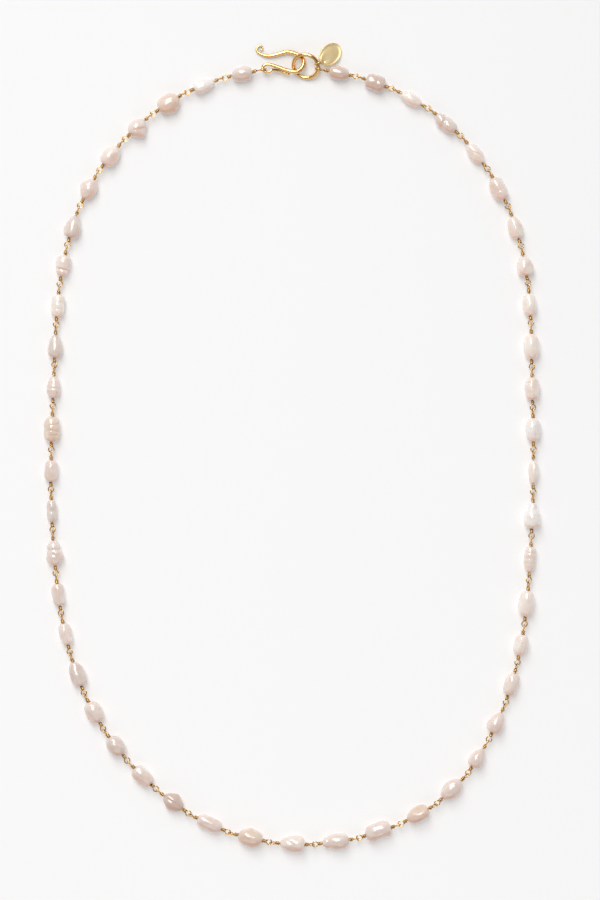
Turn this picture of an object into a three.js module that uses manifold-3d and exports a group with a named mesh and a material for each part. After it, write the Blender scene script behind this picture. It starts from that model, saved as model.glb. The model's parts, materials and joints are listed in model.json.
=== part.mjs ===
// Pearl necklace: a closed strand of freshwater pearls, each drilled and threaded on its own gold wire.
// A wire ends in a wrapped eye at both ends of its pearl, and the eyes of neighbours interlink.
// A hook and a ring close the strand, and a small oval tag hangs from the ring.
//
// The necklace lies flat on its resting plane, z = 0. Millimetres, +Z up, +Y from the lowest pearl to
// the clasp. The origin is on the resting plane, below the middle of the outline.

import * as THREE from 'three';
import { mergeVertices } from 'three/addons/utils/BufferGeometryUtils.js';
import Module from 'manifold-3d';

const wasm = await Module();
wasm.setup();

// ---- driving dimensions ----

const strandHeight = 2.45; // of the wires above the resting plane
const wireRadius = 0.2;
const eyeRadius = 0.75; // from an eye's centre to the middle of its wire
const claspEyeRadius = 1.05; // the two end eyes are wider, to pass the clasp's thicker wire
const eyeSpacing = 1.0; // between the centres of two eyes that interlink
const wrapLength = 1.35; // of the coil between an eye and its pearl
const claspWrapLength = 2.1; // of the coil between a pearl and the eye at the clasp
const wrapRadius = 0.5;
const drillRadius = 0.45;
const drillPlay = 0.05; // between a drilled pearl and the coil at each end of it
const wrapReach = 0.5; // how far the coils of a link that is one solid run into its pearl
const pearlHeight = 1.15; // over its width, where that doesn't reach too far below the resting plane
const pearlReach = 1.2; // the furthest that a pearl reaches down before it is cut, over strandHeight

const claspSpan = 16.7; // from the end eye round the hook's loop to the end eye round the ring
const hookLoopRadius = 1.43;
const ringHalfLength = 3.85; // the ring is a slight oval, measured to the middle of its wire
const ringHalfWidth = 3.5;
const ringWireRadius = 0.6;
const ringTilt = THREE.MathUtils.degToRad(24);
const ringTurn = THREE.MathUtils.degToRad(-25);
const ringRestHeight = 0.62; // of the middle of the ring's wire, where it is lowest
const tagRingRadius = 1.3;
const tagHalfLength = 4.2;
const tagHalfWidth = 2.95;
const tagThickness = 0.7;
const tagHoleRadius = 0.45;
const tagHoleInset = 0.85; // from the tag's tip to the centre of its hole
const tagSlope = THREE.MathUtils.degToRad(18);

// The loop that the strand is laid in, through points on its left side and then its right.
const loopPoints = [
  [0, 0], [-25, 6], [-45, 20.5], [-59.5, 39.5], [-68, 63], [-72, 98], [-71.5, 136], [-69, 172],
  [-61.5, 196], [-46, 215.5], [-26.5, 227.8], [0, 232.8], [25.5, 228.3], [46.5, 216.3], [62.5, 196],
  [70, 173], [72, 136], [72, 98], [68.5, 59], [61.5, 36.5], [47.5, 15.5], [25.5, 3.5],
];

// What a pearl's outline does along its length: fullness 2 is an ellipse, more is a barrel and less a
// spindle; lean above 0 is fatter towards the clasp; waist narrows the middle.
const outlines = {
  oval: { fullness: 2.2, lean: 0, waist: 0 },
  barrel: { fullness: 2.9, lean: 0, waist: 0 },
  spindle: { fullness: 1.7, lean: 0, waist: 0 },
  lobed: { fullness: 2.6, lean: 0, waist: 0.14 },
  dropOut: { fullness: 2.1, lean: 0.3, waist: 0 },
  dropIn: { fullness: 2.1, lean: -0.3, waist: 0 },
  pearIn: { fullness: 1.9, lean: -0.5, waist: 0 },
};

// Every pearl as outline, length and width: first from the hook down the left side to the lowest one,
// which both arms of the strand start from, then up the right side to the ring.
const leftPearls = [
  ['oval', 6.4, 4.7], ['dropIn', 6.8, 4.8], ['barrel', 7.0, 5.6], ['dropIn', 6.1, 5.4],
  ['dropIn', 6.9, 5.2], ['barrel', 6.9, 5.0], ['dropIn', 7.2, 4.9], ['barrel', 6.8, 4.6],
  ['oval', 6.9, 4.2], ['dropIn', 7.1, 4.5], ['oval', 7.0, 4.0], ['oval', 7.9, 5.2],
  ['barrel', 6.7, 4.5], ['lobed', 7.0, 3.4], ['dropIn', 7.8, 5.0], ['barrel', 6.9, 4.0],
  ['oval', 6.7, 4.0], ['dropIn', 7.8, 4.9], ['oval', 7.0, 5.2], ['oval', 6.8, 5.0],
  ['barrel', 6.9, 5.0], ['dropIn', 7.0, 5.6], ['oval', 7.9, 4.6], ['barrel', 7.6, 5.4],
];
const lowestPearl = ['barrel', 7.6, 5.2];
const rightPearls = [
  ['dropOut', 8.2, 5.0], ['barrel', 8.0, 5.4], ['dropIn', 7.3, 5.0], ['dropIn', 7.9, 5.2],
  ['dropIn', 6.6, 4.6], ['dropIn', 7.0, 5.2], ['oval', 7.2, 4.8], ['oval', 6.6, 4.8],
  ['barrel', 8.0, 4.8], ['spindle', 8.1, 4.2], ['pearIn', 8.0, 5.2], ['spindle', 7.6, 3.5],
  ['oval', 7.3, 4.9], ['barrel', 7.0, 4.8], ['oval', 7.9, 5.0], ['dropIn', 6.9, 4.5],
  ['dropIn', 6.1, 5.2], ['oval', 7.3, 4.6], ['oval', 7.6, 4.9], ['spindle', 7.5, 4.3],
  ['lobed', 7.6, 4.6], ['spindle', 7.3, 3.9], ['barrel', 6.1, 5.2], ['oval', 6.2, 4.4],
];

// Pearls that are modelled drilled, apart from their wires. The others are one solid with theirs.
const drilledPearls = new Set([1, 2, 3, 25, 47, 48, 49]);

// ---- solids ----

function toSolid(geometry) {
  const bare = geometry.clone();
  bare.deleteAttribute('normal');
  bare.deleteAttribute('uv');
  const merged = mergeVertices(bare, 1e-4);
  const corners = merged.index.array;
  const kept = [];
  for (let i = 0; i < corners.length; i += 3) {
    const [a, b, c] = corners.slice(i, i + 3);
    if (a !== b && b !== c && c !== a) kept.push(a, b, c);
  }
  const mesh = new wasm.Mesh({
    numProp: 3,
    vertProperties: merged.attributes.position.array,
    triVerts: Uint32Array.from(kept),
  });
  return new wasm.Manifold(mesh);
}

function toGeometry(solid) {
  const { vertProperties, triVerts } = solid.getMesh();
  const geometry = new THREE.BufferGeometry();
  geometry.setAttribute('position', new THREE.BufferAttribute(vertProperties, 3));
  geometry.setIndex(new THREE.BufferAttribute(triVerts, 1));
  geometry.computeVertexNormals();
  return geometry;
}

function joined(geometries) {
  return geometries.map(toSolid).reduce((whole, piece) => whole.add(piece));
}

// A round bar on the strand's axis, from x = start to x = end.
function bar(radius, start, end) {
  const sides = 6;
  const geometry = new THREE.CylinderGeometry(radius, radius, end - start, sides);
  geometry.rotateZ(Math.PI / 2);
  geometry.translate((start + end) / 2, 0, 0);
  return geometry;
}

function eye(radius, x, upright) {
  const wireSides = 4;
  const turnSides = 8;
  const geometry = new THREE.TorusGeometry(radius, wireRadius, wireSides, turnSides);
  if (upright) geometry.rotateX(Math.PI / 2);
  geometry.translate(x, 0, 0);
  return geometry;
}

// ---- pearls and their wires, along local +X from the link's inner pivot ----

function pearlGeometry([outline, length, width], centre) {
  const { fullness, lean, waist } = outlines[outline];
  const sides = 8;
  const stations = [-0.75, -0.3, 0.3, 0.75];
  const radii = stations.map((t) => {
    const round = (1 - Math.abs(t) ** fullness) ** (1 / fullness);
    return round * (1 + lean * t) * (1 - waist * (1 - t * t));
  });
  const widest = Math.max(...radii);
  const profile = [new THREE.Vector2(0, -length / 2)];
  stations.forEach((t, i) => {
    profile.push(new THREE.Vector2((radii[i] / widest) * (width / 2), (t * length) / 2));
  });
  profile.push(new THREE.Vector2(0, length / 2));

  const geometry = new THREE.LatheGeometry(profile, sides);
  geometry.rotateZ(-Math.PI / 2);
  geometry.rotateX(Math.PI / sides); // puts a side, not an edge, underneath
  geometry.scale(1, 1, Math.min(pearlHeight, (pearlReach * strandHeight) / (width / 2)));
  geometry.translate(centre, 0, 0);
  flattenUnderside(geometry);
  return geometry;
}

// A full pearl rests on a small flat.
function flattenUnderside(geometry) {
  const position = geometry.attributes.position;
  for (let i = 0; i < position.count; i += 1) {
    position.setZ(i, Math.max(position.getZ(i), -strandHeight));
  }
}

// Where a link's parts sit along its own axis. The lowest link has an upright eye at both ends. Every
// other link has a flat eye that passes through its inner neighbour's upright eye.
function linkLayout(pearl, number) {
  const length = pearl[1];
  const isLowest = number === leftPearls.length + 1;
  const isEnd = number === 1 || number === leftPearls.length + 1 + rightPearls.length;
  const innerEye = isLowest ? 0 : eyeSpacing;
  const outerRadius = isEnd ? claspEyeRadius : eyeRadius;
  const outerWrap = isEnd ? claspWrapLength : wrapLength;
  const pearlStart = innerEye + eyeRadius + wrapLength;
  const pearlEnd = pearlStart + length;
  const span = pearlEnd + outerWrap + outerRadius;
  return { isLowest, innerEye, outerRadius, pearlStart, pearlEnd, span };
}

// The coils run past the pearl's ends by reach, or stop short of them where it is below 0.
function wirePieces(layout, reach) {
  const { isLowest, innerEye, outerRadius, pearlStart, pearlEnd, span } = layout;
  return [
    eye(eyeRadius, innerEye, isLowest),
    bar(wrapRadius, innerEye + eyeRadius, pearlStart + reach),
    bar(wrapRadius, pearlEnd - reach, span - outerRadius),
    eye(outerRadius, span, true),
  ];
}

const pearlMaterial = { color: 0xf1e9e4, roughness: 0.25, metalness: 0 };
const goldMaterial = { color: 0xd9a441, roughness: 0.25, metalness: 1 };

function namedMesh(name, geometry, material) {
  const mesh = new THREE.Mesh(geometry, new THREE.MeshStandardMaterial(material));
  mesh.name = name;
  return mesh;
}

function linkMeshes(pearl, number) {
  const layout = linkLayout(pearl, number);
  const id = String(number).padStart(2, '0');
  const pearlShape = pearlGeometry(pearl, (layout.pearlStart + layout.pearlEnd) / 2);
  if (!drilledPearls.has(number)) {
    const link = joined([pearlShape, ...wirePieces(layout, wrapReach)]);
    return [namedMesh(`pearl_link_${id}`, toGeometry(link), pearlMaterial)];
  }
  const drill = toSolid(bar(drillRadius, 0, layout.span));
  const drilled = toSolid(pearlShape).subtract(drill);
  const core = bar(wireRadius, layout.innerEye + eyeRadius, layout.span - layout.outerRadius);
  const wire = joined([core, ...wirePieces(layout, -drillPlay)]);
  return [
    namedMesh(`pearl_${id}`, toGeometry(drilled), pearlMaterial),
    namedMesh(`pearl_wire_${id}`, toGeometry(wire), goldMaterial),
  ];
}

// ---- the laid loop ----

function loopCurve(scale) {
  const points = loopPoints.map(([x, y]) => new THREE.Vector3(x * scale, y * scale, strandHeight));
  const curve = new THREE.CatmullRomCurve3(points, true, 'centripetal');
  curve.arcLengthDivisions = 1200; // fine enough to place the pivots along it to 0.01 mm
  return curve;
}

const halvings = 40; // of a search interval, down to rounding error

// The next point of the curve, at a straight distance of span from the point at the share u.
function stepAlong(curve, u, span, direction) {
  const from = curve.getPointAt(u);
  const wrapped = (share) => THREE.MathUtils.euclideanModulo(share, 1);
  const mostArcPerSpan = 1.3;
  let near = 0;
  let far = (mostArcPerSpan * span) / curve.getLength();
  for (let i = 0; i < halvings; i += 1) {
    const middle = (near + far) / 2;
    const reach = curve.getPointAt(wrapped(u + direction * middle)).distanceTo(from);
    if (reach < span) near = middle;
    else far = middle;
  }
  return wrapped(u + direction * far);
}

// The pivots of one arm of the strand, from the lowest link outwards.
function armPivots(curve, firstShare, spans, direction) {
  let share = firstShare;
  const pivots = [curve.getPointAt(share)];
  for (const span of spans) {
    share = stepAlong(curve, share, span, direction);
    pivots.push(curve.getPointAt(share));
  }
  return pivots;
}

const lowestNumber = leftPearls.length + 1;
const leftNumbers = leftPearls.map((_, i) => i + 1).reverse();
const rightNumbers = rightPearls.map((_, i) => lowestNumber + 1 + i);
const pearlOf = (number) => [...leftPearls, lowestPearl, ...rightPearls][number - 1];
const spanOf = (number) => linkLayout(pearlOf(number), number).span;

function layOut(scale) {
  const curve = loopCurve(scale);
  const half = spanOf(lowestNumber) / 2;
  const left = armPivots(curve, stepAlong(curve, 0, half, 1), leftNumbers.map(spanOf), 1);
  const right = armPivots(curve, stepAlong(curve, 0, half, -1), rightNumbers.map(spanOf), -1);
  return { left, right, opening: left.at(-1).distanceTo(right.at(-1)) };
}

// The loop is scaled until the strand leaves exactly the clasp's span open.
function fittedLayout() {
  let small = 0.95;
  let large = 1.05;
  for (let i = 0; i < halvings; i += 1) {
    const middle = (small + large) / 2;
    if (layOut(middle).opening < claspSpan) small = middle;
    else large = middle;
  }
  return layOut(large);
}

function placeBetween(object, from, to) {
  object.position.copy(from);
  object.rotation.z = Math.atan2(to.y - from.y, to.x - from.x);
}

// ---- the clasp, in a frame with +X from the hook's loop to the ring's end eye, z from the strand ----

// A closed tube along a curve with a radius that changes, ended by flat caps.
function taperedTube(curve, radiusAt, steps, sides) {
  const frames = curve.computeFrenetFrames(steps, false);
  const positions = [];
  for (let i = 0; i <= steps; i += 1) {
    const centre = curve.getPointAt(i / steps);
    const radius = radiusAt(i / steps);
    for (let k = 0; k < sides; k += 1) {
      const angle = (2 * Math.PI * k) / sides;
      const point = centre.clone();
      point.addScaledVector(frames.normals[i], radius * Math.cos(angle));
      point.addScaledVector(frames.binormals[i], radius * Math.sin(angle));
      positions.push(point.x, point.y, point.z);
    }
  }
  const indices = [];
  for (let i = 0; i < steps; i += 1) {
    for (let k = 0; k < sides; k += 1) {
      const a = i * sides + k;
      const b = i * sides + ((k + 1) % sides);
      indices.push(a, b, a + sides, b, b + sides, a + sides);
    }
  }
  const last = steps * sides;
  for (let k = 1; k < sides - 1; k += 1) {
    indices.push(0, k + 1, k);
    indices.push(last, last + k, last + k + 1);
  }
  const geometry = new THREE.BufferGeometry();
  geometry.setAttribute('position', new THREE.Float32BufferAttribute(positions, 3));
  geometry.setIndex(indices);
  return geometry;
}

// The hook's wire: a tucked end, the loop, the shank, the bend that holds the ring, the free arm, and
// a curl at its tip.
const tailPoints = [
  [7.9, -1.38, -0.65], [6.9, -1.05, -0.65], [5.7, -0.62, -0.65], [4.6, -0.25, -0.6], [3.6, -0.1, -0.45],
];
const loopHalfWidth = 1.2; // across the strand, where its half-length is hookLoopRadius
const loopOffset = 0.45; // of the loop's middle from the strand
const loopTurn = [-25, -290]; // degrees round the loop's centre
const loopDrop = 0.2; // of the loop's start below its end
const armPoints = [
  [4.5, 0.75, 0], [6.6, -0.1, 0.05], [8.7, -0.65, 0.1], [10.3, -0.7, 0.05], [11.5, 0.1, -0.1],
  [12.3, 1.6, -0.4], [12.2, 3, -0.8], [11.2, 4.2, -1.15], [9.2, 5.1, -1.3], [7.5, 5.45, -1.35],
  [5.7, 5.1, -1.45], [3.7, 4.6, -1.6], [1.8, 4.35, -1.75], [0.3, 4.6, -1.8],
];
const curlCentre = new THREE.Vector3(-0.62, 6.5, -1.85);
const curlTurn = [-95, -460]; // degrees round the curl's centre
const curlRadii = [1.4, 0.3]; // at the curl's start and at its tip

function hookCurve() {
  const { lerp, degToRad } = THREE.MathUtils;
  const points = tailPoints.map((point) => new THREE.Vector3(...point));
  const loopSteps = 7;
  for (let i = 0; i <= loopSteps; i += 1) {
    const done = i / loopSteps;
    const angle = degToRad(lerp(...loopTurn, done));
    const x = hookLoopRadius * (1 + Math.cos(angle));
    const y = loopOffset + loopHalfWidth * Math.sin(angle);
    points.push(new THREE.Vector3(x, y, -loopDrop * (1 - done)));
  }
  armPoints.forEach((point) => points.push(new THREE.Vector3(...point)));
  const curlSteps = 9;
  for (let i = 0; i <= curlSteps; i += 1) {
    const done = i / curlSteps;
    const angle = degToRad(lerp(...curlTurn, done));
    const radius = lerp(...curlRadii, done);
    const offset = new THREE.Vector3(Math.cos(angle), Math.sin(angle), 0).multiplyScalar(radius);
    points.push(offset.add(curlCentre));
  }
  return new THREE.CatmullRomCurve3(points, false, 'centripetal');
}

// Stops of the share of the wire's length, and the wire's radius there.
const hookRadii = [
  [0, 0.38], [0.14, 0.42], [0.3, 0.55], [0.44, 0.7], [0.71, 0.66], [0.85, 0.5], [0.93, 0.3], [1, 0.22],
];

function hookRadius(share) {
  const next = hookRadii.findIndex(([at]) => at >= share && at > 0);
  const [fromShare, fromRadius] = hookRadii[next - 1];
  const [toShare, toRadius] = hookRadii[next];
  return THREE.MathUtils.mapLinear(share, fromShare, toShare, fromRadius, toRadius);
}

function hookMesh() {
  const steps = 64;
  const sides = 6;
  return namedMesh('clasp_hook', taperedTube(hookCurve(), hookRadius, steps, sides), goldMaterial);
}

const ringMiddleHeight = ringRestHeight + ringHalfWidth * Math.sin(ringTilt);
const ringCentre = new THREE.Vector3(12.95, 0.95, ringMiddleHeight - strandHeight);

function ringMesh() {
  const wireSides = 6;
  const turnSides = 24;
  const geometry = new THREE.TorusGeometry(ringHalfLength, ringWireRadius, wireSides, turnSides);
  const position = geometry.attributes.position;
  for (let i = 0; i < position.count; i += 1) {
    const along = Math.atan2(position.getY(i), position.getX(i));
    position.setY(i, position.getY(i) - (ringHalfLength - ringHalfWidth) * Math.sin(along));
  }
  const mesh = namedMesh('clasp_ring', geometry, goldMaterial);
  mesh.rotation.set(ringTilt, 0, ringTurn, 'ZYX');
  mesh.position.copy(ringCentre);
  return mesh;
}

// The tag ring stands upright through the clasp ring and the tag's hole. Its frame has +X towards the
// hole, and the tag slopes down along that direction.
const tagRingCentre = new THREE.Vector3(16.87, 1.69, 0.5);
const tagRingTurn = THREE.MathUtils.degToRad(17);
const tagTurn = THREE.MathUtils.degToRad(29);

function tagRingMesh() {
  const wireSides = 5;
  const turnSides = 12;
  const geometry = new THREE.TorusGeometry(tagRingRadius, wireRadius, wireSides, turnSides);
  geometry.rotateX(Math.PI / 2);
  const mesh = namedMesh('tag_ring', geometry, goldMaterial);
  mesh.position.copy(tagRingCentre);
  mesh.rotation.z = tagRingTurn;
  return mesh;
}

function tagMesh() {
  const centre = tagHalfLength - tagHoleInset;
  const outline = new THREE.Shape();
  outline.absellipse(centre, 0, tagHalfLength, tagHalfWidth, 0, 2 * Math.PI);
  const hole = new THREE.Path();
  hole.absarc(0, 0, tagHoleRadius, 0, 2 * Math.PI, true);
  outline.holes.push(hole);
  const geometry = new THREE.ExtrudeGeometry(outline, {
    depth: tagThickness,
    bevelEnabled: false,
    curveSegments: 12,
  });
  geometry.translate(0, 0, -tagThickness / 2);
  geometry.rotateZ(tagTurn);
  geometry.translate(tagRingRadius, 0, 0);
  const mesh = namedMesh('tag', geometry, goldMaterial);
  mesh.position.copy(tagRingCentre);
  mesh.rotation.set(0, tagSlope, tagRingTurn, 'ZYX');
  return mesh;
}

// ---- assembly ----

const necklace = new THREE.Group();
const { left, right } = fittedLayout();

function addLink(number, from, to) {
  const link = new THREE.Group();
  link.add(...linkMeshes(pearlOf(number), number));
  placeBetween(link, from, to);
  necklace.add(link);
}

addLink(lowestNumber, left[0], right[0]);
leftNumbers.forEach((number, i) => addLink(number, left[i], left[i + 1]));
rightNumbers.forEach((number, i) => addLink(number, right[i], right[i + 1]));

const clasp = new THREE.Group();
clasp.add(hookMesh(), ringMesh(), tagRingMesh(), tagMesh());
placeBetween(clasp, left.at(-1), right.at(-1));
necklace.add(clasp);

const bounds = new THREE.Box3().setFromObject(necklace, true);
const middle = bounds.getCenter(new THREE.Vector3());
necklace.children.forEach((child) => {
  child.position.x -= middle.x;
  child.position.y -= middle.y;
});

export default necklace;
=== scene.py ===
"""A strand of freshwater pearls on wrapped gold wire links, with a hook clasp and a tag, on a pale floor.

Lengths in this script are millimetres unless a name says otherwise. Meshes are built in metres, in the
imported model's frame: +Z up, the necklace lying on z = 0, +Y from the lowest pearl to the clasp.
"""
import json
import math
import random

import bmesh
import bpy
import numpy as np
from mathutils import Matrix, Vector, noise


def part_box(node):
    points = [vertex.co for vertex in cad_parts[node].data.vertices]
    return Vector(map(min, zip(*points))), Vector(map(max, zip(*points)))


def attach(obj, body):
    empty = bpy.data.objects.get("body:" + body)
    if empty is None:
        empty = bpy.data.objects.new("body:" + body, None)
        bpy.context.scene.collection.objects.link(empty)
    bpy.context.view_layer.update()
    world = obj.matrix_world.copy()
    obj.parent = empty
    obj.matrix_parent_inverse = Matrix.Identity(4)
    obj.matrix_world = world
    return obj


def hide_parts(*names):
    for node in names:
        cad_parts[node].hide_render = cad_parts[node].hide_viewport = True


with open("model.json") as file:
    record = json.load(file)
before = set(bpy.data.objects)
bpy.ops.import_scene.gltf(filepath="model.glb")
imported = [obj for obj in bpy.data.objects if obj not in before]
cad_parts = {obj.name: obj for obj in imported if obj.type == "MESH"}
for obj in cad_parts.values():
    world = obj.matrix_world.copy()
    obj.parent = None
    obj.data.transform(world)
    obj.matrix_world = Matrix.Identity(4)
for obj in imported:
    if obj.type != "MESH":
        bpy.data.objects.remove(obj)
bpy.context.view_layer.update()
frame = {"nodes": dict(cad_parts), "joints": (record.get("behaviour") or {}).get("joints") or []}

MM = 0.001
PEARL_COUNT = 49
LOWEST = 25

# The wire links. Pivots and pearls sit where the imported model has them.
WIRE_RADIUS = 0.19
EYE_RADIUS = 0.82
CLASP_EYE_RADIUS = 1.12
EYE_SPACING = 1.0  # between the centres of two eyes that interlink
WRAP_LENGTH = 1.28  # from an eye to its pearl
CLASP_WRAP_LENGTH = 2.03
WIRE_SIDES = 8
COIL_SLACK = 0.07  # between the stem and the coil round it
COIL_GAP = 0.02  # between one turn and the next
COIL_RADIUS = 2 * WIRE_RADIUS + COIL_SLACK
COIL_PITCH = 2 * WIRE_RADIUS + COIL_GAP
COIL_TURNS = (2.4, 2.9)
EYE_ROLL = (8, 15)  # degrees that a joint's two eyes lean from flat and upright
SQUARE_FROM = 18  # joints this many or more from the lowest pearl twist most, so their eyes don't lean
BORE_RADIUS = 0.24
STRAND_HEIGHT = 1000 * frame["joints"][0]["pos_m"][2]

joint_at = {joint["name"]: Vector(joint["pos_m"]) / MM for joint in frame["joints"]}


# ---- mesh helpers ----

def new_piece(name, vertices, faces, place, material, smooth=True):
    """A mesh piece from points in millimetres, placed by the matrix place, with its normals outwards."""
    mesh = bpy.data.meshes.new(name)
    mesh.from_pydata([(place @ Vector(v)) * MM for v in vertices], [], faces)
    shape = bmesh.new()
    shape.from_mesh(mesh)
    bmesh.ops.recalc_face_normals(shape, faces=shape.faces)
    shape.to_mesh(mesh)
    shape.free()
    mesh.polygons.foreach_set("use_smooth", [smooth] * len(mesh.polygons))
    mesh.materials.append(material)
    piece = bpy.data.objects.new(name, mesh)
    bpy.context.scene.collection.objects.link(piece)
    return piece


def ring_faces(rings, sides, closed):
    """Quads between consecutive rings of vertices. A closed run also joins its last ring to its first."""
    faces = []
    for i in range(rings if closed else rings - 1):
        here = i * sides
        there = ((i + 1) % rings) * sides
        for k in range(sides):
            n = (k + 1) % sides
            faces.append((here + k, here + n, there + n, there + k))
    return faces


def catmull_rom(points, steps):
    """A centripetal Catmull-Rom curve through the points, with this many steps between two of them."""
    points = [Vector(p) for p in points]
    points = [2 * points[0] - points[1], *points, 2 * points[-1] - points[-2]]
    curve = []
    for p0, p1, p2, p3 in zip(points, points[1:], points[2:], points[3:]):
        d0, d1, d2 = (math.sqrt((b - a).length) for a, b in ((p0, p1), (p1, p2), (p2, p3)))
        t1 = ((p1 - p0) / d0 - (p2 - p0) / (d0 + d1) + (p2 - p1) / d1) * d1
        t2 = ((p2 - p1) / d1 - (p3 - p1) / (d1 + d2) + (p3 - p2) / d2) * d1
        for i in range(steps):
            s = i / steps
            curve.append(
                p1 * (2 * s**3 - 3 * s**2 + 1)
                + t1 * (s**3 - 2 * s**2 + s)
                + p2 * (3 * s**2 - 2 * s**3)
                + t2 * (s**3 - s**2)
            )
    curve.append(points[-2])
    return curve


def shares_along(curve):
    """Each point's share of the curve's length, from 0 to 1."""
    lengths = [0.0]
    for a, b in zip(curve, curve[1:]):
        lengths.append(lengths[-1] + (b - a).length)
    return [length / lengths[-1] for length in lengths]


def swept(curve, radii, sides):
    """A closed tube of changing radius along the curve, with small chamfers at its two cut ends."""
    tangents = []
    for i in range(len(curve)):
        ahead = curve[min(i + 1, len(curve) - 1)]
        behind = curve[max(i - 1, 0)]
        tangents.append((ahead - behind).normalized())
    normal = tangents[0].orthogonal().normalized()
    stations = []
    for i, (point, tangent) in enumerate(zip(curve, tangents)):
        if i:
            turn = tangents[i - 1].rotation_difference(tangent)
            normal = turn @ normal
        normal = (normal - tangent * normal.dot(tangent)).normalized()
        stations.append((point, tangent, normal.copy(), radii[i]))
    chamfer = 0.3
    first, last = stations[0], stations[-1]
    start = (first[0] - first[1] * first[3] * chamfer, first[1], first[2], first[3] * (1 - chamfer))
    end = (last[0] + last[1] * last[3] * chamfer, last[1], last[2], last[3] * (1 - chamfer))
    stations = [start, *stations, end]
    vertices = []
    for point, tangent, normal, radius in stations:
        side = tangent.cross(normal)
        for k in range(sides):
            angle = 2 * math.pi * k / sides
            vertices.append(point + (normal * math.cos(angle) + side * math.sin(angle)) * radius)
    faces = ring_faces(len(stations), sides, closed=False)
    faces.append(tuple(reversed(range(sides))))
    faces.append(tuple(range((len(stations) - 1) * sides, len(stations) * sides)))
    return vertices, faces


def interpolated(stops, share):
    """The value at a share between stops of (share, value)."""
    return float(np.interp(share, [at for at, _ in stops], [value for _, value in stops]))


# ---- materials ----

class Nodes:
    """A short way to write a node tree."""

    def __init__(self, name):
        self.material = bpy.data.materials.new(name)
        self.material.use_nodes = True
        self.tree = self.material.node_tree
        self.shader = self.tree.nodes["Principled BSDF"]

    def add(self, kind, inputs=None, **settings):
        node = self.tree.nodes.new(kind)
        for key, value in settings.items():
            setattr(node, key, value)
        for key, value in (inputs or {}).items():
            self.feed(node.inputs[key], value)
        return node

    def feed(self, socket, value):
        if isinstance(value, bpy.types.NodeSocket):
            self.tree.links.new(value, socket)
        else:
            socket.default_value = value

    def set(self, **values):
        for key, value in values.items():
            self.feed(self.shader.inputs[key.replace("_", " ")], value)

    def position(self):
        """Object coordinates in millimetres."""
        place = self.add("ShaderNodeTexCoord").outputs["Object"]
        scale = (1 / MM,) * 3
        return self.add("ShaderNodeMapping", {"Vector": place, "Scale": scale}).outputs["Vector"]

    def noise(self, vector, scale, detail=2.0):
        inputs = {"Vector": vector, "Scale": scale, "Detail": detail}
        return self.add("ShaderNodeTexNoise", inputs).outputs["Fac"]

    def between(self, value, low, high, to_low=0.0, to_high=1.0):
        inputs = {"Value": value, "From Min": low, "From Max": high, "To Min": to_low, "To Max": to_high}
        return self.add("ShaderNodeMapRange", inputs).outputs["Result"]

    def mix(self, share, first, second):
        node = self.add("ShaderNodeMix", data_type="RGBA")
        self.feed(node.inputs[0], share)
        self.feed(node.inputs[6], first)
        self.feed(node.inputs[7], second)
        return node.outputs[2]

    def bump(self, height, strength, distance):
        inputs = {"Height": height, "Strength": strength, "Distance": distance * MM}
        return self.add("ShaderNodeBump", inputs).outputs["Normal"]


def colour(red, green, blue):
    """A linear colour from 8-bit display values."""
    linear = [((v / 255 + 0.055) / 1.055) ** 2.4 for v in (red, green, blue)]
    return (*linear, 1.0)


# Nacre's body colour, the tint of its patches, its painted shade tint and its painted rim sheen.
TONES = {
    "snow": (252, 248, 244),
    "white": (252, 243, 234),
    "ivory": (247, 235, 226),
    "rose": (241, 227, 218),
    "oyster": (231, 219, 210),
    "cream": (237, 217, 200),
    "sand": (219, 200, 187),
}
PATCH_TINT = (0.985, 0.945, 0.93)
# the tint of the painted shade on flanks that face -Y, away from the key light
PAINTED_SHADE_TINT = (0.985, 0.86, 0.8)
# the colour of the painted milky sheen on the rim
PAINTED_RIM_SHEEN = (238, 236, 238)


def tinted_tone(tone, tint=(1, 1, 1)):
    """The colour of a tone, times a tint for each channel."""
    return colour(*(level * share for level, share in zip(TONES[tone], tint)))


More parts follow.
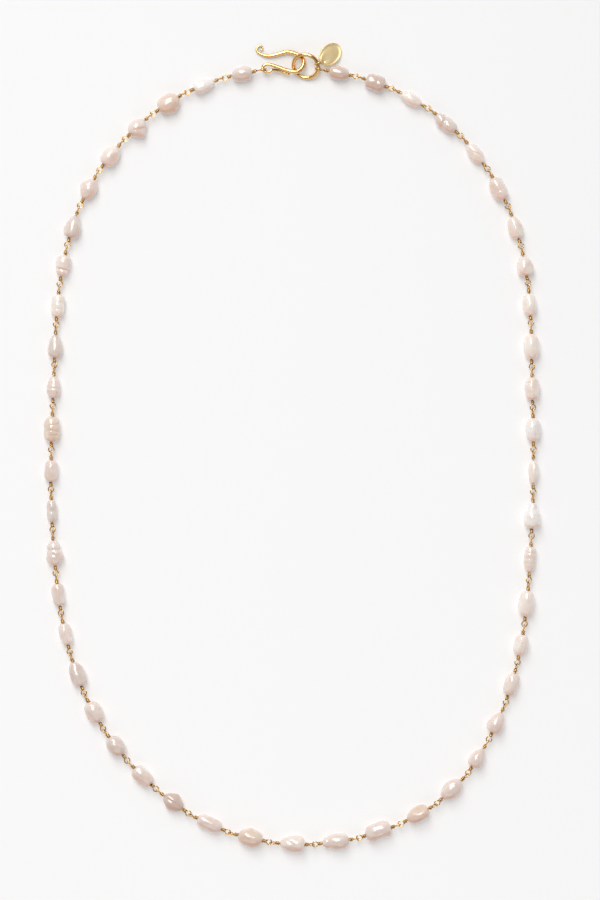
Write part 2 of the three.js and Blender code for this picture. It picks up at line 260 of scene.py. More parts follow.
def nacre(tone):
    """Pearl: a satin body under a clear lustre, patchy in tint, with faint growth lines.

    Flanks facing the lowest pearl's side (-Y), away from the key light, get a painted pinker shade; its rim
    a painted milky sheen.
    """
    body, patch, painted_shade = tinted_tone(tone), tinted_tone(tone, PATCH_TINT), tinted_tone(tone, PAINTED_SHADE_TINT)
    n = Nodes("nacre_" + tone)
    place = n.position()
    patches = n.between(n.noise(place, 0.45, 3.0), 0.38, 0.66)
    cloud = n.mix(patches, body, patch)
    facing = n.add("ShaderNodeLayerWeight", {"Blend": 0.35}).outputs["Facing"]
    normal = n.add("ShaderNodeNewGeometry").outputs["Normal"]
    down = n.add("ShaderNodeSeparateXYZ", {"Vector": normal}).outputs["Y"]
    # painted shade: flanks facing -Y, away from the key light, are mixed towards a pinker, darker tint
    with_painted_shade = n.mix(n.between(down, -0.05, -0.7), cloud, painted_shade)
    # painted sheen: the rim, seen edge-on, is mixed towards a pale milky colour
    tinted = n.mix(n.between(facing, 0.35, 0.95, 0.0, 0.6), with_painted_shade, colour(*PAINTED_RIM_SHEEN))
    lines = n.noise(place, 5.0, 4.0)
    dimples = n.noise(place, 1.6, 2.0)
    relief = n.add("ShaderNodeMath", {0: lines, 1: 0.25}, operation="MULTIPLY").outputs[0]
    relief = n.add("ShaderNodeMath", {0: relief, 1: dimples}, operation="ADD").outputs[0]
    n.set(
        Base_Color=tinted,
        Roughness=n.between(n.noise(place, 0.8, 2.0), 0.3, 0.7, 0.26, 0.42),
        Normal=n.bump(relief, 0.35, 0.08),
        Coat_Weight=1.0,
        Coat_Roughness=0.14,
        Coat_IOR=1.75,
        Subsurface_Weight=0.12,
        Subsurface_Radius=(1.0, 0.8, 0.7),
        Subsurface_Scale=0.0012,
        Sheen_Weight=0.12,
        Sheen_Roughness=0.4,
        Sheen_Tint=colour(255, 226, 222),
    )
    return n.material


GOLD = colour(247, 207, 144)
# the colour of the painted shade in the gold's crevices
PAINTED_SHADE_GOLD = colour(118, 74, 34)


def gold(name, roughness, scratch):
    """Polished gold plate with painted shade, dark brown, in its crevices, and with handling haze and fine
    scratches.
    """
    n = Nodes(name)
    place = n.position()
    open_share = n.add("ShaderNodeAmbientOcclusion", {"Distance": 0.7 * MM}, samples=4).outputs["AO"]
    worn = n.mix(n.noise(place, 1.4, 3.0), GOLD, colour(238, 188, 120))
    # painted shade: crevices, found by ambient occlusion, are mixed towards dark brown
    tinted = n.mix(n.between(open_share, 0.4, 1.0), PAINTED_SHADE_GOLD, worn)
    stretched = n.add("ShaderNodeMapping", {"Vector": place, "Scale": (3.0, 22.0, 22.0)})
    scratches = n.noise(stretched.outputs["Vector"], 1.0, 4.0)
    haze = n.noise(place, 2.2, 3.0)
    n.set(
        Base_Color=tinted,
        Metallic=1.0,
        Roughness=n.between(haze, 0.3, 0.7, roughness * 0.7, roughness * 1.5),
        Normal=n.bump(scratches, scratch, 0.01),
    )
    return n.material


BRUSHING_SCALE = (0.7, 14.0, 14.0)
BRUSHING_TURN = math.radians(-46)  # of the noise, after it is stretched: the grain still runs along X


def brushed_gold():
    """The tag's satin field: gold with a brushed grain along X."""
    n = Nodes("gold_satin")
    place = n.position()
    grain = {"Vector": place, "Rotation": (0, 0, BRUSHING_TURN), "Scale": BRUSHING_SCALE}
    stretched = n.add("ShaderNodeMapping", grain)
    brushing = n.noise(stretched.outputs["Vector"], 1.0, 5.0)
    cloud = n.noise(place, 0.5, 2.0)
    worn = n.mix(n.between(cloud, 0.3, 0.7), colour(255, 228, 172), colour(244, 210, 148))
    n.set(
        Base_Color=n.mix(n.between(brushing, 0.35, 0.7), worn, colour(255, 240, 196)),
        Metallic=1.0,
        Roughness=n.between(brushing, 0.3, 0.7, 0.42, 0.6),
        Normal=n.bump(brushing, 0.4, 0.02),
    )
    return n.material


def lit_table():
    """The floor: matt white acrylic with a grain too fine to notice, lit a little from below."""
    n = Nodes("floor_acrylic")
    place = n.position()
    grain = n.noise(place, 3.0, 3.0)
    white = n.mix(grain, colour(224, 224, 224), colour(227, 227, 227))
    along = n.add("ShaderNodeSeparateXYZ", {"Vector": place}).outputs["Y"]
    glow = n.between(along, FLOOR_GLOW_SPAN / 2, -FLOOR_GLOW_SPAN / 2, *FLOOR_GLOW)
    n.set(
        Base_Color=white,
        Roughness=0.9,
        Normal=n.bump(grain, 0.05, 0.02),
        Emission_Color=(1.0, 1.0, 1.0, 1.0),
        Emission_Strength=glow,
    )
    return n.material


# ---- pearls ----

def pearl(width, tone, top=2.2, bottom=2.2, lean=0.0, flat=0.95, bow=0.0, knobbly=0.12, marks=()):
    """A pearl's shape. Top is the end nearer pearl 1.

    top, bottom: how full each end is: 2 is round, more is blunt, less is pointed.
    lean: the widest place along it, from -1 at the bottom to 1 at the top.
    flat: its height over its width.
    bow: how far its middle bows to the right.
    knobbly: the depth of its uneven surface.
    marks: bumps, dents, rings and creases.
    """
    return dict(
        width=width, tone=tone, top=top, bottom=bottom, lean=lean, flat=flat, bow=bow,
        knobbly=knobbly, marks=marks,
    )


def bump(along, around, height, reach, cross=None, turn=0):
    """A swelling, or with a height below 0 a dent or crease.

    along: from -1 at the bottom to 1 at the top. around: degrees, 0 on the right, 90 on top of the pearl
    and 180 on the left. reach and cross: its half-lengths along and around the pearl. turn: degrees.
    """
    return dict(along=along, around=around, height=height, reach=reach, cross=cross or reach, turn=turn)


def belt(along, height, reach, tilt=0.0):
    """A ring right round the pearl: a groove if height is below 0. tilt shifts it along on one side."""
    return dict(along=along, around=None, height=height, reach=reach, tilt=tilt)


PEARLS = [
    pearl(4.7, "oyster", top=2.3, bottom=2.1, lean=0.05),
    pearl(4.6, "snow", top=1.7, bottom=2.5, lean=-0.3, flat=0.8, marks=[bump(0.1, 0, -0.25, 1.6, 1.0)]),
    pearl(5.6, "cream", top=2.2, bottom=2.4, flat=0.85, marks=[bump(0.1, 0, 0.6, 0.8)]),
    pearl(5.0, "rose", top=1.8, bottom=2.2, lean=-0.2, flat=0.9, bow=0.1,
          marks=[bump(-0.2, 0, 0.85, 1.2, 1.2), bump(0.05, 60, -0.35, 2.4, 0.4, -38)]),
    pearl(5.2, "ivory", top=1.9, bottom=2.4, lean=-0.25),
    pearl(5.0, "rose", top=1.8, bottom=1.8, flat=0.85,
          marks=[bump(0.1, 180, 0.6, 0.8), bump(0.2, 135, -0.2, 0.9, 0.3, 40), bump(0, 50, -0.3, 2.4, 1.2)]),
    pearl(5.0, "oyster", top=1.6, bottom=2.5, lean=-0.3, marks=[bump(0, 40, -0.15, 2.5, 0.5)]),
    pearl(4.6, "ivory", top=2.7, bottom=2.1, lean=0.2,
          marks=[belt(-0.35, -0.38, 0.35), belt(0.3, 0.08, 0.5)]),
    pearl(4.2, "white", top=3.2, bottom=3.0, marks=[belt(-0.3, -0.07, 0.3), belt(0.25, -0.07, 0.35, 0.3)]),
    pearl(4.5, "oyster", top=1.9, bottom=2.5, lean=-0.25),
    pearl(4.0, "rose", top=2.0, bottom=2.4, lean=-0.1,
          marks=[belt(-0.3, 0.2, 0.6), belt(-0.1, -0.16, 0.16), belt(0.3, -0.06, 0.4)]),
    pearl(5.2, "cream", top=2.5, bottom=2.5, knobbly=0.2,
          marks=[belt(0.3, -0.18, 0.25, 0.5), belt(-0.1, -0.14, 0.22, -0.4), belt(-0.5, -0.16, 0.3, 0.3)]),
    pearl(4.4, "rose", top=2.8, bottom=2.6),
    pearl(3.3, "oyster", top=2.5, bottom=2.6, flat=1.1, marks=[belt(0.05, -0.25, 0.8)]),
    pearl(4.7, "rose", top=2.2, bottom=2.4, lean=-0.1, knobbly=0.15,
          marks=[belt(0.25, -0.28, 0.5), bump(-0.35, 0, 0.6, 1.0), bump(-0.45, 175, 0.5, 0.8),
                 bump(-0.1, 90, -0.3, 0.5)]),
    pearl(4.0, "rose", top=3.0, bottom=2.8),
    pearl(4.0, "ivory", top=2.7, bottom=2.7, marks=[belt(-0.1, -0.05, 0.5)]),
    pearl(5.0, "oyster", top=1.9, bottom=2.5, lean=-0.2, flat=0.85, marks=[bump(0, 70, -0.25, 2.2, 1.5)]),
    pearl(5.3, "rose", top=2.3, bottom=2.3, flat=0.88, knobbly=0.1),
    pearl(5.2, "oyster", top=2.2, bottom=2.2,
          marks=[bump(0, 80, 0.22, 2.6, 0.4, 35), bump(0, 120, -0.15, 2, 0.5, 35)]),
    pearl(5.0, "rose", top=3.0, bottom=3.0, flat=0.9),
    pearl(5.0, "sand", top=1.7, bottom=1.9, lean=0.05, flat=0.85,
          marks=[bump(0.1, 0, 0.45, 0.9), bump(0, 180, 0.4, 0.9), bump(0, 85, -0.35, 2.8, 0.35, 6)]),
    pearl(4.5, "rose", top=2.6, bottom=2.6, marks=[bump(0.1, 150, -0.12, 2, 0.5)]),
    pearl(5.2, "cream", top=2.2, bottom=2.5, lean=-0.1, knobbly=0.15,
          marks=[bump(0.1, 0, 0.6, 0.9), bump(0.3, 100, -0.25, 1.0, 0.5, 20), bump(-0.2, 170, 0.25, 1.1)]),
    pearl(5.0, "ivory", top=1.9, bottom=2.8, lean=-0.3, knobbly=0.1,
          marks=[bump(-0.5, 15, 0.35, 1.0), bump(0.2, 70, -0.2, 1.5, 0.6, -25)]),
    pearl(5.0, "rose", top=2.0, bottom=2.5, lean=-0.2, marks=[belt(0.5, -0.35, 0.7)]),
    pearl(5.4, "rose", top=2.9, bottom=2.9, flat=0.9, bow=0.3, marks=[bump(0, 180, -0.25, 1.4, 1.0)]),
    pearl(5.0, "cream", top=1.9, bottom=2.4, lean=-0.2),
    pearl(5.2, "rose", top=1.9, bottom=1.9, flat=0.88,
          marks=[bump(0, 0, 0.15, 0.9), bump(0, 180, 0.15, 0.9)]),
    pearl(4.8, "rose", top=2.3, bottom=1.5, lean=0.35),
    pearl(5.0, "rose", top=2.5, bottom=1.6, lean=0.3,
          marks=[bump(0.3, 10, 0.3, 0.9), bump(-0.3, 30, -0.2, 1.2, 0.8)]),
    pearl(4.7, "ivory", top=2.3, bottom=2.2, knobbly=0.14, marks=[bump(0.1, 60, -0.2, 1.8, 0.8, 20)]),
    pearl(4.7, "white", top=2.2, bottom=2.2, marks=[bump(0, 100, -0.22, 2.6, 0.3, 8)]),
    pearl(4.8, "white", top=2.6, bottom=2.5),
    pearl(4.0, "ivory", top=2.0, bottom=2.6, lean=-0.1,
          marks=[belt(0.3, -0.12, 0.3), belt(-0.1, -0.1, 0.25, 0.2), belt(-0.5, -0.14, 0.3)]),
    pearl(5.2, "snow", top=2.5, bottom=2.3, lean=0.35, marks=[belt(-0.6, -0.8, 1.5)]),
    pearl(3.4, "white", top=1.8, bottom=1.8, flat=1.1),
    pearl(4.9, "snow", top=2.2, bottom=2.3),
    pearl(4.8, "ivory", top=2.7, bottom=2.3, marks=[belt(-0.5, -0.22, 0.35)]),
    pearl(4.9, "white", top=2.3, bottom=2.2, knobbly=0.1,
          marks=[bump(0.2, 10, 0.2, 0.5), bump(-0.2, 350, 0.18, 0.5), bump(-0.1, 140, -0.15, 1.5, 0.5)]),
    pearl(4.4, "white", top=2.3, bottom=2.2),
    pearl(5.2, "ivory", top=2.6, bottom=1.8, lean=0.25, flat=0.88),
    pearl(4.6, "ivory", top=2.0, bottom=1.8, lean=0.1, marks=[bump(0, 30, -0.12, 2.4, 0.5)]),
    pearl(4.9, "rose", top=2.4, bottom=2.3, knobbly=0.1, marks=[belt(0.2, -0.08, 0.3)]),
    pearl(4.2, "ivory", top=1.8, bottom=1.8, marks=[bump(0, 90, -0.25, 2.4, 0.3, 30)]),
    pearl(4.4, "oyster", top=2.3, bottom=2.4, lean=0.2, bow=0.15, marks=[belt(-0.15, -0.4, 0.6, 0.5)]),
    pearl(3.8, "white", top=1.8, bottom=1.8, flat=1.0, marks=[bump(0, 120, 0.12, 2.4, 0.4)]),
    pearl(5.2, "sand", top=3.0, bottom=3.0, flat=0.9, marks=[belt(0.1, -0.06, 0.5)]),
    pearl(4.3, "sand", top=2.3, bottom=2.3),
]


def profile(share, shape):
    """The half-width, from 0 to 1, at a share along the pearl from -1 to 1."""
    lean = shape["lean"]
    below = share < lean
    reach = np.where(below, lean + 1, 1 - lean)
    fullness = np.where(below, shape["bottom"], shape["top"])
    away = np.clip(np.abs(share - lean) / reach, 0, 1)
    return (1 - away**fullness) ** (1 / fullness)


def mark_height(mark, share, angle, length, width):
    """How far a mark raises the surface at each place."""
    if mark["around"] is None:
        centre = mark["along"] + 2 * mark["tilt"] / length * np.cos(angle)
        return mark["height"] * np.exp(-(((share - centre) * length / 2 / mark["reach"]) ** 2))
    along = (share - mark["along"]) * length / 2
    across = np.angle(np.exp(1j * (angle - math.radians(mark["around"])))) * width / 2
    turn = math.radians(mark["turn"])
    u = along * math.cos(turn) + across * math.sin(turn)
    v = across * math.cos(turn) - along * math.sin(turn)
    return mark["height"] * np.exp(-((u / mark["reach"]) ** 2) - (v / mark["cross"]) ** 2)


FLATS = 6  # soft flat places on each pearl
CROWN_MARGIN = 34  # degrees kept clear of flats on each side of the pearl's crown
FLAT_DEPTH = (0.8, 0.93)  # of the half-width, from the axis to a flat
SIDE_DEPTH = 0.94  # the same for flats that face sideways, which would narrow the pearl
EDGE_SHARPNESS = 9  # of a flat's edges, per mm
MOST_SLOPE = 0.25  # of a flat along the pearl
SIDEWAYS = 0.8  # cosine beyond which a flat counts as facing sideways
GRAZING = 0.1  # least cosine between a flat and a place it cuts


def flattened(radius, angle, share, number):
    """The pearl's radius with a few soft flats pressed into its flanks."""
    pressed = random.Random(200 + number)
    half = radius.max()
    for _ in range(FLATS):
        facing = math.radians(90 + pressed.uniform(CROWN_MARGIN, 360 - CROWN_MARGIN))
        slope = pressed.uniform(-MOST_SLOPE, MOST_SLOPE)
        depth = pressed.uniform(*FLAT_DEPTH)
        if abs(math.cos(facing)) > SIDEWAYS:
            depth = max(depth, SIDE_DEPTH)
        towards = np.maximum(np.cos(angle - facing), GRAZING)
        limit = half * (depth + slope * share) / towards
        radius = -np.log(np.exp(-EDGE_SHARPNESS * radius) + np.exp(-EDGE_SHARPNESS * limit)) / EDGE_SHARPNESS
    return radius


BROAD_NOISE = 0.42  # per mm
FINE_NOISE = 1.3
FINE_SHARE = 0.22


def uneven(place, seed):
    """Smooth noise from about -1 to 1, in two sizes."""
    broad = noise.noise(place * BROAD_NOISE + seed)
    fine = noise.noise(place * FINE_NOISE + seed)
    return broad + FINE_SHARE * fine


MOST_SHIFT = 0.35  # of a pearl's middle above or below its drill hole
PEARL_STATIONS = 52
PEARL_SIDES = 60
BORE_RINGS = 6
SEED_STEP = (7.3, 3.1)  # between the noise of one pearl and of the next
LEAST_RADIUS = 0.5  # that the uneven surface is scaled by
DIMPLE_DEPTH = 0.14  # round each drill hole
DIMPLE_REACH = 0.35
DIMPLE_FROM = 0.8  # share along the pearl beyond which its ends dimple


def pearl_mesh(shape, length, number):
    """Vertices and faces of a drilled pearl about the strand's axis: +X to its top, +Y to its left."""
    stations, sides = PEARL_STATIONS, PEARL_SIDES
    shares = -np.cos(np.linspace(0, math.pi, stations))
    angles = np.linspace(0, 2 * math.pi, sides, endpoint=False)
    share, angle = np.meshgrid(shares, angles, indexing="ij")
    half = shape["width"] / 2
    radius = half * profile(share, shape)
    fade = np.clip(1 - share**2, 0, 1) ** 0.5
    for mark in shape["marks"]:
        radius = radius + fade * mark_height(mark, share, angle, length, shape["width"])
    radius = np.maximum(flattened(radius, angle, share, number), BORE_RADIUS)

    x = share * length / 2
    y = -radius * np.cos(angle)
    z = radius * np.sin(angle) * shape["flat"]
    seed = Vector((number * SEED_STEP[0], number * SEED_STEP[1], 0))
    for i, k in np.ndindex(x.shape):
        raise_by = shape["knobbly"] * uneven(Vector((x[i, k], y[i, k], z[i, k])), seed) * fade[i, k]
        scale = 1 + raise_by / max(radius[i, k], LEAST_RADIUS)
        y[i, k] *= scale
        z[i, k] *= scale
    y -= shape["bow"] * (1 - share**2)
    lift = min(max(-STRAND_HEIGHT - z.min(), -MOST_SHIFT), MOST_SHIFT)
    z += lift * (1 - share**4)
    z = np.maximum(z, -STRAND_HEIGHT)

    dimple = DIMPLE_DEPTH * np.exp(-(((np.hypot(y, z) - BORE_RADIUS) / DIMPLE_REACH) ** 2))
    x -= np.sign(share) * dimple * (np.abs(share) > DIMPLE_FROM)
    for end in (0, -1):
        y[end] = -BORE_RADIUS * np.cos(angles)
        z[end] = BORE_RADIUS * np.sin(angles)
    vertices = list(zip(x.ravel(), y.ravel(), z.ravel()))
    bore_x = np.linspace(x[-1, 0], x[0, 0], BORE_RINGS)[1:-1]
    for at in bore_x:
        vertices += [(at, -BORE_RADIUS * math.cos(a), BORE_RADIUS * math.sin(a)) for a in angles]
    return vertices, ring_faces(stations + len(bore_x), sides, closed=True)


# ---- wire links ----

EYE_OPENING = 25  # degrees on each side of the stem that a round eye leaves open
LONG_EYE_OPENING = 48
EYE_STEPS = 18
EYE_RISE = 0.03  # of the eye's start above its plane, and of its end below
STEM_STOPS = (1.3, 0.7, 0.2)  # how far down the stem its points are
STEM_LIFT = 0.02
NECK_SHARE = 0.35  # of the way down a long eye's neck
NECK_START = (0.17, 0.05)  # across and out of the plane, on the way up
NECK_END = (-0.2, -0.1)  # and on the way down
COIL_STEPS = 16  # in one turn
COIL_START = math.radians(25)
COIL_INSET = 0.16  # from the eye's foot to the first turn


def eye_path(radius, neck, turns):
    """A wrapped eye: u out along the link from the eye's centre, v across in its plane, w out of its plane.

    It comes up the stem, goes round the eye, and is wound back round the stem to its cut end.
    neck: how far the two sides of a long eye run before they meet the stem.
    """
    opening = EYE_OPENING if neck == 0 else LONG_EYE_OPENING
    near = radius + neck
    deep, middle, high = STEM_STOPS
    path = [(-near - deep, 0, 0), (-near - middle, 0, 0), (-near - high, 0.0, STEM_LIFT)]
    if neck:
        path.append((-near + NECK_SHARE * neck, *NECK_START))
    for i in range(EYE_STEPS + 1):
        angle = math.radians(180 - opening - (360 - 2 * opening) * i / EYE_STEPS)
        rise = EYE_RISE - 2 * EYE_RISE * i / EYE_STEPS
        path.append((radius * math.cos(angle), radius * math.sin(angle), rise))
    if neck:
        path.append((-near + NECK_SHARE * neck, *NECK_END))
    for i in range(round(turns * COIL_STEPS) + 1):
        angle = COIL_START + 2 * math.pi * i / COIL_STEPS
        u = -near - COIL_INSET - COIL_PITCH * i / COIL_STEPS
        path.append((u, -COIL_RADIUS * math.cos(angle), -COIL_RADIUS * math.sin(angle)))
    return path


def joint_roll(higher):
    """How far the two eyes between a link and the one numbered higher lean from flat and upright."""
    steps = higher - LOWEST if higher > LOWEST else LOWEST + 1 - higher
    if steps >= SQUARE_FROM:
        return 0.0
    leant = random.Random(100 + higher)
    return math.radians(leant.uniform(*EYE_ROLL)) * leant.choice((-1, 1))


def wire_curve(number, link):
    """The wire of one link, from one cut end through the pearl to the other."""
    wound = random.Random(number)
    inner_turns = wound.uniform(*COIL_TURNS)
    outer_turns = wound.uniform(*COIL_TURNS)
    lower, higher = joint_roll(number), joint_roll(number + 1)
    inner_roll, outer_roll = (lower, higher) if number >= LOWEST else (higher, lower)
    if number == LOWEST:
        inner_roll = math.pi / 2 - inner_roll
    neck = link["outer_wrap"] - WRAP_LENGTH
    inner_turn = Matrix.Rotation(inner_roll, 4, "X")
    outer_turn = Matrix.Rotation(outer_roll + math.pi / 2, 4, "X")
    inner = [Vector((link["inner_eye"] - u, 0, 0)) + inner_turn @ Vector((0, v, w))
             for u, v, w in eye_path(EYE_RADIUS, 0, inner_turns)]
    outer = [Vector((link["span"] + u, 0, 0)) + outer_turn @ Vector((0, v, w))
             for u, v, w in eye_path(link["outer_radius"], neck, outer_turns)]
    return inner[::-1] + outer


# ---- the strand ----

def link_ends(number):
    """A link's pivots: inner is the one nearer the lowest pearl."""
    if number == LOWEST:
        return joint_at["fold_01"], joint_at["fold_01_right"]
    side = "" if number < LOWEST else "_right"
    steps = abs(number - LOWEST)
    last = number in (1, PEARL_COUNT)
    outer = "clasp_roll" if last else f"fold_{steps + 1:02d}"
    return joint_at[f"fold_{steps:02d}{side}"], joint_at[outer + side]


def along_matrix(start, end):
    """The frame at start with +X towards end and +Z up."""
    turn = math.atan2(end.y - start.y, end.x - start.x)
    return Matrix.Translation(start) @ Matrix.Rotation(turn, 4, "Z")


def link_layout(number):
    """Where a link's parts sit along +X from its inner pivot."""
    inner, outer = link_ends(number)
    last = number in (1, PEARL_COUNT)
    link = {"place": along_matrix(inner, outer), "span": (outer - inner).length}
    link["inner_eye"] = 0.0 if number == LOWEST else EYE_SPACING
    link["outer_radius"] = CLASP_EYE_RADIUS if last else EYE_RADIUS
    link["outer_wrap"] = CLASP_WRAP_LENGTH if last else WRAP_LENGTH
    link["start"] = link["inner_eye"] + EYE_RADIUS + WRAP_LENGTH
    link["end"] = link["span"] - link["outer_radius"] - link["outer_wrap"]
    return link


def build_link(number, nacres, wire_gold):
    """One pearl and the wire through it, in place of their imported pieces."""
    link = link_layout(number)
    shape = PEARLS[number - 1]
    length = link["end"] - link["start"]
    middle = (link["start"] + link["end"]) / 2
    top_turn = 0 if number < LOWEST else math.pi
    place = link["place"] @ Matrix.Translation((middle, 0, 0)) @ Matrix.Rotation(top_turn, 4, "Z")
    vertices, faces = pearl_mesh(shape, length, number)
    bead = new_piece(f"freshwater_pearl_{number:02d}", vertices, faces, place, nacres[shape["tone"]])

    curve = wire_curve(number, link)
    vertices, faces = swept(curve, [WIRE_RADIUS] * len(curve), WIRE_SIDES)
    wire = new_piece(f"wrapped_wire_{number:02d}", vertices, faces, link["place"], wire_gold)

    body = f"link_{number:02d}"
    fused = f"pearl_link_{number:02d}"
    if fused in frame["nodes"]:
        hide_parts(fused)
        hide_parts(fused)
    else:
        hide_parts(f"pearl_{number:02d}")
        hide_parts(f"pearl_wire_{number:02d}")
    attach(bead, body)
    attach(wire, body)


# ---- the clasp ----

CLASP_PLACE = along_matrix(joint_at["clasp_roll"], joint_at["clasp_roll_right"])
HOOK_LOOP_RADIUS = 1.43
HOOK_LOOP_HALF_WIDTH = 1.2
HOOK_LOOP_OFFSET = 0.45
HOOK_TAIL = [
    (7.9, -1.38, -0.65), (6.9, -1.05, -0.65), (5.7, -0.62, -0.65), (4.6, -0.25, -0.6), (3.6, -0.1, -0.45),
]
HOOK_LOOP_TURN = (-25, -290)  # degrees round the loop's centre
HOOK_LOOP_DROP = 0.2
HOOK_ARM = [
    (4.5, 0.75, 0), (6.6, -0.1, 0.05), (8.7, -0.65, 0.1), (10.3, -0.7, 0.05), (11.5, 0.1, -0.1),
    (12.3, 1.6, -0.4), (12.2, 3, -0.8), (11.2, 4.2, -1.15), (9.2, 5.1, -1.3), (7.5, 5.45, -1.35),
    (5.7, 5.1, -1.45), (3.7, 4.6, -1.6), (1.8, 4.35, -1.75), (0.3, 4.6, -1.8),
]
HOOK_CURL_CENTRE = Vector((-0.62, 6.5, -1.85))
HOOK_CURL_TURN = (-95, -460)
HOOK_CURL_RADII = (1.4, 0.3)
HOOK_RADII = [
    (0, 0.38), (0.14, 0.42), (0.3, 0.55), (0.44, 0.7), (0.71, 0.66), (0.85, 0.5), (0.93, 0.3), (1, 0.2),
]
HOOK_LOOP_STEPS = 7
HOOK_CURL_STEPS = 9
HOOK_CURVE_STEPS = 7  # between two of its points
HOOK_SIDES = 20
HAMMERED_DEPTH = 0.025  # as a share of the radius
HAMMERED_NOISE = 0.9  # per mm

RING_RADII = (3.85, 3.5)
RING_WIRE_RADIUS = 0.6
RING_TILT = math.radians(24)
RING_TURN = math.radians(-25)
RING_STEPS = 120
RING_SIDES = 24
RING_WOBBLE = 0.06  # as a share of the wire's radius
WOBBLE_NOISE = 0.8  # per mm

TAG_RING_RADIUS = 1.3
TAG_RING_WIRE = 0.2
TAG_RING_TURN = math.radians(17)
TAG_RING_GAP = math.radians(2)  # half of it
TAG_RING_STEPS = 56
TAG_RING_SIDES = 12
TAG_SLOPE = math.radians(18)
TAG_TURN = math.radians(29)
TAG_HALF_LENGTH = 4.2
TAG_HALF_WIDTH = 2.95
TAG_THICKNESS = 0.7
TAG_HOLE_RADIUS = 0.45
TAG_HOLE_INSET = 0.85
TAG_SIDES = 96
TAG_RIM = 0.42
TAG_RIM_FOOT = 0.12  # how far the rim's inner slope runs in over the field


def lerp(first, second, share):
    """The value at a share of the way from first to second."""
    return first + (second - first) * share


def hook_points():
    """The hook's wire: a tucked end, the loop, the shank, the bend, the free arm, and a curl at its tip."""
    points = [Vector(p) for p in HOOK_TAIL]
    for i in range(HOOK_LOOP_STEPS + 1):
        angle = math.radians(lerp(*HOOK_LOOP_TURN, i / HOOK_LOOP_STEPS))
        x = HOOK_LOOP_RADIUS * (1 + math.cos(angle))
        y = HOOK_LOOP_OFFSET + HOOK_LOOP_HALF_WIDTH * math.sin(angle)
        points.append(Vector((x, y, -HOOK_LOOP_DROP * (1 - i / HOOK_LOOP_STEPS))))
    points += [Vector(p) for p in HOOK_ARM]
    for i in range(HOOK_CURL_STEPS + 1):
        angle = math.radians(lerp(*HOOK_CURL_TURN, i / HOOK_CURL_STEPS))
        radius = lerp(*HOOK_CURL_RADII, i / HOOK_CURL_STEPS)
        points.append(HOOK_CURL_CENTRE + Vector((math.cos(angle), math.sin(angle), 0)) * radius)
    return points


def build_hook(material):
    """The clasp's hook, its wire slightly hammered."""
    curve = catmull_rom(hook_points(), HOOK_CURVE_STEPS)
    radii = []
    for share, point in zip(shares_along(curve), curve):
        hammered = 1 + HAMMERED_DEPTH * noise.noise(point * HAMMERED_NOISE)
        radii.append(interpolated(HOOK_RADII, share) * hammered)
    vertices, faces = swept(curve, radii, HOOK_SIDES)
    hook = new_piece("forged_hook", vertices, faces, CLASP_PLACE, material)
    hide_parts("clasp_hook")
    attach(hook, "hook")


def centre_of(node):
    """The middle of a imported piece's box."""
    low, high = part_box(node)
    return (low + high) / 2 / MM


def oval_torus(radii, wire_radius, steps, sides, wobble=0.0):
    """A closed ring about the Z axis, its wire a little uneven by the share wobble."""
    vertices = []
    for i in range(steps):
        angle = 2 * math.pi * i / steps
        centre = Vector((radii[0] * math.cos(angle), radii[1] * math.sin(angle), 0))
        outward = Vector((radii[1] * math.cos(angle), radii[0] * math.sin(angle), 0)).normalized()
        radius = wire_radius * (1 + wobble * noise.noise(centre * WOBBLE_NOISE))
        for k in range(sides):
            turn = 2 * math.pi * k / sides
            vertices.append(centre + (outward * math.cos(turn) + Vector((0, 0, math.sin(turn)))) * radius)
    return vertices, ring_faces(steps, sides, closed=True)


def build_ring(material):
    """The clasp's oval ring."""
    vertices, faces = oval_torus(RING_RADII, RING_WIRE_RADIUS, RING_STEPS, RING_SIDES, RING_WOBBLE)
    heading = CLASP_PLACE.to_euler().z
    turn = Matrix.Rotation(heading + RING_TURN, 4, "Z") @ Matrix.Rotation(RING_TILT, 4, "X")
    place = Matrix.Translation(centre_of("clasp_ring")) @ turn
    ring = new_piece("clasp_oval_ring", vertices, faces, place, material)
    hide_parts("clasp_ring")
    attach(ring, "ring")


def tag_ring_place():
    """The tag ring's frame: it stands in its XZ plane, with +X towards the tag's hole."""
    heading = CLASP_PLACE.to_euler().z
    return Matrix.Translation(centre_of("tag_ring")) @ Matrix.Rotation(heading + TAG_RING_TURN, 4, "Z")


def build_tag_ring(material):
    """A jump ring with its closed joint on the far side from the tag."""
    gap = TAG_RING_GAP
    curve = []
    for i in range(TAG_RING_STEPS + 1):
        angle = math.pi + gap + (2 * math.pi - 2 * gap) * i / TAG_RING_STEPS
        curve.append(Vector((math.cos(angle), 0, math.sin(angle))) * TAG_RING_RADIUS)
    vertices, faces = swept(curve, [TAG_RING_WIRE] * len(curve), TAG_RING_SIDES)
    ring = new_piece("tag_jump_ring", vertices, faces, tag_ring_place(), material)
    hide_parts("tag_ring")
    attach(ring, "tag_ring")


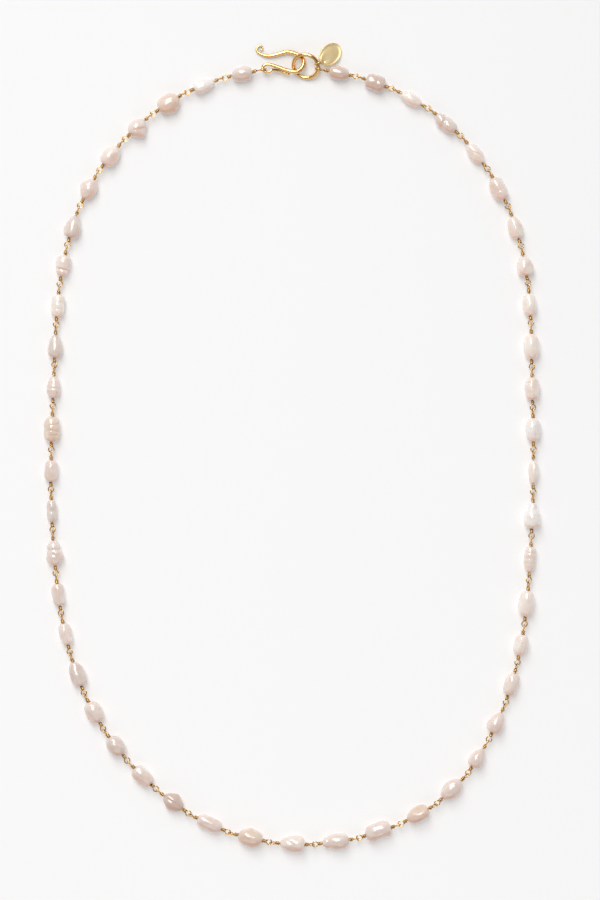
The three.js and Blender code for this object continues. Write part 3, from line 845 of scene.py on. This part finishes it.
def tag_mesh():
    """An oval disc with a raised rounded rim, a shallow domed field and a round hole near its tip.

    Each ring of vertices runs round from the hole's edge outwards over the top, then back underneath.
    """
    hole = Vector((TAG_HOLE_INSET - TAG_HALF_LENGTH, 0, 0))
    half = TAG_THICKNESS / 2
    sides = TAG_SIDES
    rim = TAG_RIM
    # Each stop: the share of the way from the hole to the oval's edge, the inset from that edge, and z.
    top = [
        (0.0, None, half - 0.26), (0.02, None, half - 0.2), (0.08, None, half - 0.18),
        (0.3, None, half - 0.12), (0.6, None, half - 0.12), (0.85, None, half - 0.2),
        (None, rim + TAG_RIM_FOOT, half - 0.22), (None, rim, half - 0.16), (None, rim - 0.1, half - 0.04),
        (None, rim - 0.2, half), (None, 0.1, half - 0.03), (None, 0.03, half - 0.12), (None, 0, half - 0.25),
    ]
    under = [
        (None, 0, -half + 0.2), (None, 0.05, -half + 0.08), (None, 0.18, -half),
        (0.8, None, -half), (0.3, None, -half), (0.03, None, -half), (0.0, None, -half + 0.06),
    ]
    vertices = []
    for share, inset, z in top + under:
        for k in range(sides):
            angle = 2 * math.pi * k / sides
            edge = Vector((TAG_HALF_LENGTH * math.cos(angle), TAG_HALF_WIDTH * math.sin(angle), 0))
            outward = Vector((TAG_HALF_WIDTH * math.cos(angle), TAG_HALF_LENGTH * math.sin(angle), 0))
            if inset is None:
                inner_edge = edge - outward.normalized() * (rim + TAG_RIM_FOOT)
                at_hole = hole + Vector((math.cos(angle), math.sin(angle), 0)) * TAG_HOLE_RADIUS
                point = at_hole.lerp(inner_edge, share)
            else:
                point = edge - outward.normalized() * inset
            vertices.append((point.x, point.y, z))
    return vertices, ring_faces(len(top) + len(under), sides, closed=True)


def build_tag(material):
    """The tag, hung sloping from its ring."""
    vertices, faces = tag_mesh()
    slope = Matrix.Rotation(TAG_SLOPE, 4, "Y")
    to_hole = Matrix.Translation((TAG_RING_RADIUS, 0, 0)) @ Matrix.Rotation(TAG_TURN, 4, "Z")
    to_middle = Matrix.Translation((TAG_HALF_LENGTH - TAG_HOLE_INSET, 0, 0))
    tag = new_piece("oval_tag", vertices, faces, tag_ring_place() @ slope @ to_hole @ to_middle, material)
    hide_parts("tag")
    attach(tag, "tag")


# ---- floor, lights and camera ----

FLOOR_GLOW = (0.175, 0.29)  # at the clasp's end of the picture and at the other
FLOOR_GLOW_SPAN = 270
FLOOR_HALF = 1500
WORLD_BRIGHT = 0.5
WORLD_OVERHEAD = 0.06
DARK_CAP = (0.55, 0.95)  # sines of the heights between which the surroundings darken
SOFTBOXES = [
    ("softbox_key", (-180, 540, 920), (420, 950), 8.8),
    ("softbox_fill", (0, -800, 900), (1000, 500), 1.2),
]


def build_floor(material):
    """A wide floor at z = 0, which isn't part of the necklace."""
    half = FLOOR_HALF
    vertices = [(-half, -half, 0), (half, -half, 0), (half, half, 0), (-half, half, 0)]
    floor = new_piece("floor", vertices, [(0, 1, 2, 3)], Matrix.Identity(4), material, smooth=False)


def softbox(name, place, size, power):
    """A rectangular soft light aimed at the middle of the necklace."""
    light = bpy.data.lights.new(name, "AREA")
    light.shape = "RECTANGLE"
    light.size, light.size_y = (side * MM for side in size)
    light.energy = power
    lamp = bpy.data.objects.new(name, light)
    lamp.location = Vector(place) * MM
    lamp.rotation_euler = (-Vector(place)).to_track_quat("-Z", "Y").to_euler()
    bpy.context.scene.collection.objects.link(lamp)


def light_scene():
    """The softboxes, and pale surroundings that darken overhead."""
    for name, place, size, power in SOFTBOXES:
        softbox(name, place, size, power)
    world = bpy.data.worlds.new("studio")
    world.use_nodes = True
    tree = world.node_tree
    place = tree.nodes.new("ShaderNodeTexCoord")
    height = tree.nodes.new("ShaderNodeSeparateXYZ")
    tree.links.new(place.outputs["Generated"], height.inputs["Vector"])
    fade = tree.nodes.new("ShaderNodeMapRange")
    tree.links.new(height.outputs["Z"], fade.inputs["Value"])
    fade.inputs["From Min"].default_value = DARK_CAP[0]
    fade.inputs["From Max"].default_value = DARK_CAP[1]
    fade.inputs["To Min"].default_value = WORLD_BRIGHT
    fade.inputs["To Max"].default_value = WORLD_OVERHEAD
    background = tree.nodes["Background"]
    background.inputs["Color"].default_value = (1.0, 0.995, 0.99, 1.0)
    tree.links.new(fade.outputs["Result"], background.inputs["Strength"])
    bpy.context.scene.world = world
    bpy.context.scene.view_settings.view_transform = "Standard"


PICTURE_HEIGHT = 269.8  # of the strand's plane that the picture shows
CAMERA_DISTANCE = 750
CAMERA_CENTRE = (2.3, -0.9)


def place_camera():
    """Straight above the necklace, with the clasp at the top of the picture."""
    data = bpy.data.cameras.new("camera")
    data.sensor_width = 36
    data.lens = data.sensor_width * CAMERA_DISTANCE / PICTURE_HEIGHT
    camera = bpy.data.objects.new("camera", data)
    camera.location = Vector((*CAMERA_CENTRE, STRAND_HEIGHT + CAMERA_DISTANCE)) * MM
    bpy.context.scene.collection.objects.link(camera)
    bpy.context.scene.camera = camera


# ---- assembly ----

nacres = {tone: nacre(tone) for tone in TONES}
wire_gold = gold("gold_wire", 0.18, 0.35)
clasp_gold = gold("gold_polished", 0.17, 0.2)
for number in range(1, PEARL_COUNT + 1):
    build_link(number, nacres, wire_gold)
build_hook(clasp_gold)
build_ring(clasp_gold)
build_tag_ring(wire_gold)
build_tag(brushed_gold())
build_floor(lit_table())
light_scene()
place_camera()
